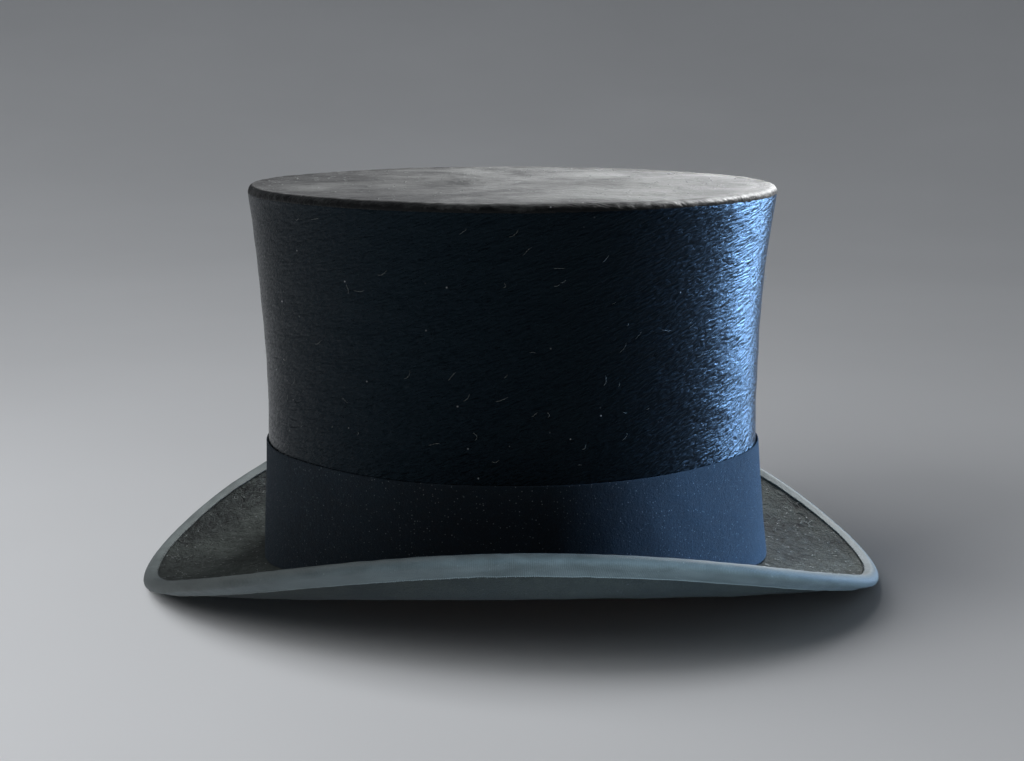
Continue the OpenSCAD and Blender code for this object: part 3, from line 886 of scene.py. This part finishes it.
def build_sweatband_stitches():
    """Running stitches along the sweatband's foot, and crossed ones over its join."""
    angles, _ = spread_angles(150, 0.0)
    t = np.linspace(-1, 1, 6)
    lines = []
    for a in angles:
        b = a + 0.0105 * t
        x, y = oval(b, -0.12 + 0.22 * t ** 4)
        lines.append(join(x, y, sweat_low(b) + 3 + 0.06 * math.sin(40 * a)))
    finish_piece(tubes("sweatband_running_stitches", lines, 0.2, linen_thread),
                 "sweatband_stitches")
    lines = []
    crosses = 12
    for i in range(crosses):
        z = float(sweat_low(PI)) + 12.5 + i * (SWEAT_W - 16.5) / crosses
        for tilt in (1, -1):
            x = -HEAD_LEN / 2 + 0.12 - 0.3 * t ** 4 + 0.14 * tilt
            lines.append(join(x, 1.7 * t, z + t * tilt))
    finish_piece(tubes("sweatband_back_stitches", lines, 0.17, linen_thread),
                 "sweatband_join_stitches")


def build_reed_and_welt():
    """The cane in the sweatband's foot, and the oilcloth folded round it with a tail above."""
    l0 = WELT_OUT - FOOT_OUT
    n0 = CLOTH_LOW + WELT_R + 0.05
    angles, girth = spread_angles(480, WELT_OUT)
    turn = np.linspace(0, 2 * PI, 12, endpoint=False)
    section = join(l0 + REED_R * np.cos(turn), n0 - REED_R * np.sin(turn))
    points = brim_points(angles, *section.T)
    run = run_along(angles, girth)
    piece = ring_object("sweatband_reed_cane", points, join(run, turn * REED_R, 0), cane)
    finish_piece(piece, "sweatband_reed")
    tail_h, tail_t = 9.0, 0.4
    inner_r = REED_R + 0.05
    start, end = math.radians(115), math.radians(-155)
    sweep = np.linspace(start, end, 16)
    tail_l = LEATHER_T + 0.05 - FOOT_OUT
    outer = [(tail_l + tail_t * (0.5 + 0.5 * math.cos(t)), n0 + tail_h + 0.2 * math.sin(t))
             for t in np.linspace(PI, 0, 5)]
    outer += [(tail_l + tail_t, n0 + h) for h in np.linspace(tail_h, 1.4, 10)[1:]]
    outer += [(l0 + WELT_R * math.cos(t), n0 + WELT_R * math.sin(t)) for t in sweep]
    inner = [(l0 + inner_r * math.cos(t), n0 + inner_r * math.sin(t)) for t in sweep[::-1]]
    inner += [(tail_l, n0 + h) for h in np.linspace(1.2, tail_h, 10)[:-1]]
    section = np.array(outer + inner)
    points = brim_points(angles, *section.T)
    piece = ring_object("sweatband_reed_welt", points, join(run, distances(section), 0),
                        oilcloth)
    finish_piece(piece, "reed_welt")


def build_bow():
    """Two flat loops of narrow ribbon over the sweatband's join."""
    x0, z0 = -HEAD_LEN / 2 + 2.9, float(sweat_low(PI)) + BOW_LIFT
    reach, depth, ribbon_t = 11.6, 1.35, 0.35
    turn = np.linspace(0.0, 2 * PI, 44)
    open_share = (1 - np.cos(turn)) / 2
    half = (BOW_W / 2) * (0.62 + 0.38 * np.sin(turn / 2) ** 0.7)
    row = np.linspace(-1, 1, 5)
    section = [(u, -0.5) for u in row] + [(1.04, 0)] + [(u, 0.5) for u in row[::-1]] + [(-1.04, 0)]
    u, v = np.array(section).T
    verts, faces, lie = [], [], []
    for side in (1, -1):
        x = x0 + depth * np.sin(turn) * (0.55 + 0.45 * open_share)
        line = join(x, side * (1.7 + reach * open_share))
        lift = v * ribbon_t + 0.18 * np.cos(u * PI / 2)
        spot = line[:, None] + sideways(line)[:, None] * lift[:, None]
        height = half[:, None] * u
        faces += grid_faces(*spot.shape[:2], False, len(verts))
        verts += join(spot[..., 0], spot[..., 1], z0 + height).reshape(-1, 3).tolist()
        lie += join(0.55 * np.arange(len(turn))[:, None], height, v).reshape(-1, 3).tolist()
    piece = make_object("sweatband_bow_loops", verts, faces, lie, bow_ribbon)
    finish_piece(piece, "sweatband_bow")


def build_bow_knot():
    """The knot between the loops: a soft block with rounded edges and two pinched folds."""
    x0, z0 = -HEAD_LEN / 2 + 3.1, float(sweat_low(PI)) + BOW_LIFT
    v = np.linspace(-1, 1, 13)[:, None]
    turn = np.linspace(0, 2 * PI, 20, endpoint=False)
    c, s = np.cos(turn), np.sin(turn)
    squareness = (c ** 4 + s ** 4) ** -0.25
    pinch = 1 - 0.12 * np.cos(3 * PI * v) * np.abs(s)
    x = x0 + 1.7 * c * squareness * (1 - 0.25 * v * v)
    points = join(x, v * BOW_KNOT_W / 2, z0 + 2.35 * s * squareness * pinch)
    finish_piece(ring_object("sweatband_bow_tie", points, points, bow_ribbon, False),
                 "sweatband_bow_knot")


# ---- Lining ----

def build_side_lining():
    """Satin inside the wall, gathered toward the top, with a sewn seam."""
    angles, girth = spread_angles(720, FOOT_OUT - LINING_IN, PI)
    top = TIP_LINING_LOW
    section = slab(0.0, top - FOOT_SIDE_Z - STRIP_H, -LINING_IN, -SHELL_IN, 90, 3)
    low = foot_z(angles) + STRIP_H + 0.05
    z, n = wall_layer(angles, section, low, top)
    base = wall_points(angles, z, wall_out(z) + n)
    up = np.clip((z - low[:, None]) / (top - low[:, None]), 0, 1)
    gather = ripples(base * (1, 1, 0.12), 5.5, 101) * (0.12 + 0.5 * up ** 3)
    drape = 0.25 * ripples(base * (1, 1, 0.35), 22, 102)
    seam_x, seam_y = oval(-SEAM_ANGLE, FOOT_OUT)
    seam_gap = np.hypot(base[..., 0] - seam_x, base[..., 1] - seam_y)
    tuck = -0.5 * np.exp(-(seam_gap / 0.9) ** 2)
    rise = np.where(n < -SHELL_IN - LINING_T / 2, -0.15 - np.abs(gather + drape) + tuck, 0)
    points = wall_points(angles, z, wall_out(z) + n + rise)
    lie = join(run_along(angles, girth), z, n)
    piece = ring_object("crown_side_lining", points, lie, satin)
    finish_piece(piece, "side_lining")


def build_tip_lining():
    """Satin under the top: a flat oval with a soft roll where it meets the lining of the wall."""
    rings = 44
    rim_out = float(wall_out(TIP_LINING_LOW)) - SHELL_IN
    angles, _ = spread_angles(480, rim_out)
    x, y = oval(angles, rim_out)
    k = np.arange(rings + 1)[:, None]
    share = 1 - 0.985 * k / rings
    low = join(x * share, y * share, TIP_LINING_LOW)
    high = join(x * share, y * share, TIP_SHELL_LOW - 0.02)
    soft = 0.35 * ripples(low, 34, 111) + 0.1 * ripples(low, 9, 112)
    low[..., 2] += -0.35 - np.abs(soft) * np.clip(k / 4, 0, 1) - 0.5 * np.exp(-((k - 2) / 1.3) ** 2)
    low[0, :, 2] = TIP_LINING_LOW
    middles = [[0, 0, TIP_SHELL_LOW - 0.02], [0, 0, TIP_LINING_LOW - 0.5]]
    piece, _ = disc_object("crown_tip_lining", high, low, middles, satin)
    finish_piece(piece, "tip_lining")
    stretch_oval(rim_out)


def build_lining_stitches():
    """Overcast stitches that join the two linings."""
    out = float(wall_out(TIP_LINING_LOW)) - LINING_IN - 0.75
    angles, _ = spread_angles(150, out)
    t = np.linspace(0, 1, 5)
    lines = []
    for a in angles:
        x, y = oval(a + 0.017 * t, out + 0.3 * (t - 0.5))
        lines.append(join(x, y, TIP_LINING_LOW - 0.95 - 0.1 * np.sin(PI * t)))
    finish_piece(tubes("crown_lining_stitches", lines, 0.17, ivory_thread, 5),
                 "lining_seam_stitches")


def build_lint():
    """Loose hairs and lint that cling to the plush."""
    rng = random.Random(121)

    def hair(surface, length, curl):
        """One hair: a short line that bends in the surface, through surface(u, v)."""
        heading = rng.uniform(-0.5, 1.1)
        line, u, v = [], 0.0, 0.0
        for _ in range(7):
            line.append(surface(u, v))
            u += length / 6 * math.cos(heading)
            v += length / 6 * math.sin(heading)
            heading += rng.uniform(-curl, curl) + 0.3 * curl
        return line

    lines = []
    for _ in range(150):
        a0, z0 = rng.uniform(0, 2 * PI), rng.uniform(FOOT_SIDE_Z + BAND_H + 2, EDGE_Z - 6)
        lift = rng.uniform(0.15, 0.4)
        lines.append(hair(lambda u, v: wall_point(a0 + u / 100, z0 + v, lift),
                          rng.uniform(1.2, 4.5), 0.5))
    finish_piece(tubes("crown_side_lint", lines, 0.055, lint_fibre, 3))
    lines = []
    for _ in range(260):
        r, t = rng.uniform(0, 0.96) ** 0.5, rng.uniform(0, 2 * PI)
        ox, oy = oval(t, TOP_OUT - TOP_EDGE_R)
        x0, y0 = float(ox) * r, float(oy) * r
        lines.append(hair(lambda u, v: (x0 + u, y0 + v, TOP_Z + 0.02), rng.uniform(0.6, 3), 0.7))
    finish_piece(tubes("crown_tip_lint", lines, 0.07, lint_fibre, 3))
    lines = []
    for _ in range(900):
        a0, l0 = rng.uniform(0, 2 * PI), rng.uniform(2, BRIM_W - BINDING_TOP_W - 2)
        lift = rng.uniform(0.2, 0.5)
        lines.append(hair(lambda u, v: brim(a0 + u / 130, l0 + v, lift), rng.uniform(1, 4), 0.9))
    finish_piece(tubes("brim_plush_lint", lines, 0.06, lint_fibre, 3))


build_side_plush()
build_band_stitches(build_band())
build_tip_plush()
build_brim_plush()
build_under_cloth()
build_binding()
build_binding_stitches()
build_sweatband()
build_sweatband_stitches()
build_reed_and_welt()
build_bow()
build_bow_knot()
build_side_lining()
build_tip_lining()
build_lining_stitches()
build_lint()

for node_name in ("crown_side_shell", "crown_tip_shell", "brim_shell", "brim_join_strip"):
    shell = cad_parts[node_name]
    shell.data.materials.clear()
    shell.data.materials.append(linen)


# ---- Camera, floor and lights ----

def aim(piece, place, target, roll=0.0):
    """Puts a camera or a light at place and points it at target."""
    turn = (Vector(place) - Vector(target)).to_track_quat("Z", "Y").to_matrix().to_4x4()
    piece.matrix_world = Matrix.Translation(place) @ turn @ Matrix.Rotation(roll, 4, "Z")


def build_camera():
    """A camera before the hat's right side and slightly above it, a little rolled."""
    target = Vector((-0.00014, 0.0, 0.0834))
    distance = 0.680
    elevation, azimuth, roll = math.radians(12.0), math.radians(-1.94), math.radians(0.16)
    back = Vector((math.sin(azimuth) * math.cos(elevation),
                   -math.cos(azimuth) * math.cos(elevation), math.sin(elevation)))
    camera = bpy.data.cameras.new("camera")
    camera.sensor_width = 36
    camera.lens = 56.215
    camera.clip_start = 0.01
    piece = add_object("camera", camera)
    aim(piece, target + back * distance, target, roll)
    bpy.context.scene.camera = piece


def build_floor():
    """Pale floor that turns up into a backdrop far behind on every side."""
    m = Nodes("pale_floor")
    m.set(Roughness=0.9, Specular_IOR_Level=0.2)
    grain = m.noise(m.place(), 3, 3, 0.5)
    m.colour(m.ramp(grain, [(0.3, (0.74, 0.745, 0.75)), (0.7, (0.78, 0.785, 0.79))]))
    around = 96
    flat, bend = 1.0, 3.0
    profile = [(0.5 * flat, 0.0), (flat, 0.0)]
    profile += [(flat + bend * math.sin(t), bend - bend * math.cos(t))
                for t in np.linspace(0.04, PI / 2, 24)]
    turn = np.arange(around) * 2 * PI / around
    verts = [(0, 0, 0)]
    for r, z in profile:
        verts += join(r * np.cos(turn), r * np.sin(turn), z).tolist()
    faces = [(0, 1 + k, 1 + (k + 1) % around) for k in range(around)]
    for r in range(len(profile) - 1):
        for k in range(around):
            a, b = 1 + r * around + k, 1 + r * around + (k + 1) % around
            faces.append((a, a + around, b + around, b))
    mesh = bpy.data.meshes.new("floor")
    mesh.from_pydata(verts, [], faces)
    mesh.polygons.foreach_set("use_smooth", [True] * len(mesh.polygons))
    mesh.materials.append(m.material)
    floor = add_object("floor", mesh)
    floor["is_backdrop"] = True
    return floor


def area_light(name, place, size, power, colour, only=()):
    """A soft rectangular light aimed at the hat. only lists the pieces that it lights."""
    light = bpy.data.lights.new(name, "AREA")
    light.shape = "RECTANGLE"
    light.size, light.size_y = size
    light.energy = power
    light.color = colour
    piece = add_object(name, light)
    aim(piece, place, (0, 0, 0.1))
    piece.visible_camera = False
    if only:
        lit = bpy.data.collections.new("lit_by_" + name)
        for receiver in only:
            lit.objects.link(receiver)
        piece.light_linking.receiver_collection = lit


def build_lights(floor):
    """A dim cool room, wide soft lights overhead, small lights for the top and the brim, and a
    blue window low at the right that gives the crown its bright stripe."""
    world = bpy.data.worlds.new("studio")
    bpy.context.scene.world = world
    world.use_nodes = True
    sky = world.node_tree.nodes["Background"]
    sky.inputs["Color"].default_value = (0.78, 0.87, 1.0, 1)
    sky.inputs["Strength"].default_value = 0.085
    bpy.context.scene.view_settings.view_transform = "Standard"
    cool, blue, plain = (0.52, 0.76, 1.0), (0.34, 0.59, 1.0), (0.97, 0.98, 1.0)
    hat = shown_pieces()
    tip = [p for p in hat if p.name.startswith("crown_tip_")]
    rim = [p for p in hat if p.name.startswith("brim_")]
    upright = [p for p in hat if p not in tip + rim]
    others = [p for p in hat if p not in tip] + [floor]
    area_light("overhead", (-1.1, 0.1, 2.0), (1.8, 1.6), 19, plain, others)
    area_light("floor_light", (-0.6, -0.3, 0.55), (0.5, 0.5), 2.8, plain, [floor])
    area_light("tip_overhead", (-0.9, 0.35, 2.1), (1.8, 1.6), 5, plain, tip)
    area_light("tip_light", (0.34, 0.12, 0.36), (0.22, 0.16), 6.5, plain, tip)
    area_light("tip_glow", (0.38, 1.15, 0.43), (0.3, 0.14), 2.6, plain, tip)
    area_light("brim_light", (0.26, 0.36, 0.5), (0.3, 0.3), 7.5, plain, rim)
    area_light("left_fill", (-1.7, -0.3, 0.5), (1.0, 1.0), 0.4, plain)
    area_light("front_fill", (1.4, -1.0, 0.45), (1.4, 0.8), 8, cool, rim)
    area_light("rim_light", (0.17, -0.36, 0.07), (0.12, 0.12), 0.8, cool, rim)
    area_light("window", (1.34, 0.36, 0.18), (0.6, 0.6), 106, blue, upright)
    area_light("low_window", (1.34, 0.46, 0.18), (0.85, 0.6), 21, blue, rim)


build_camera()
build_lights(build_floor())
